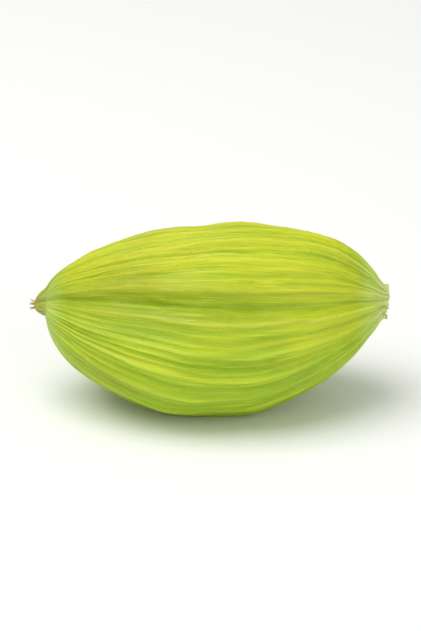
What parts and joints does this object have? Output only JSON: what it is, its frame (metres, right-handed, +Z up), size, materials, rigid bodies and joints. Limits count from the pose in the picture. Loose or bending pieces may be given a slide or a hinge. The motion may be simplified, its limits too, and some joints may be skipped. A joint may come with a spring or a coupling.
{
  "type": "green cardamom pod",
  "caption": "Dried green cardamom pod with three rounded lobes, lengthwise ribs and a groove along each face, with a short beak at one end and a broken stalk stub at the other.",
  "frame": {"origin": "on the surface that the pod lies on, under the middle of its bounding box", "axes": "+X along the pod from its beak to its stalk, +Z up, the pod lying on one of its faces"},
  "size_m": [0.0154, 0.0086, 0.0081],
  "materials": {
    "husk": "dry ribbed plant husk, satin"
  },
  "bodies": {
    "root": {"cardamom_pod": "husk"}
  },
  "joints": []
}
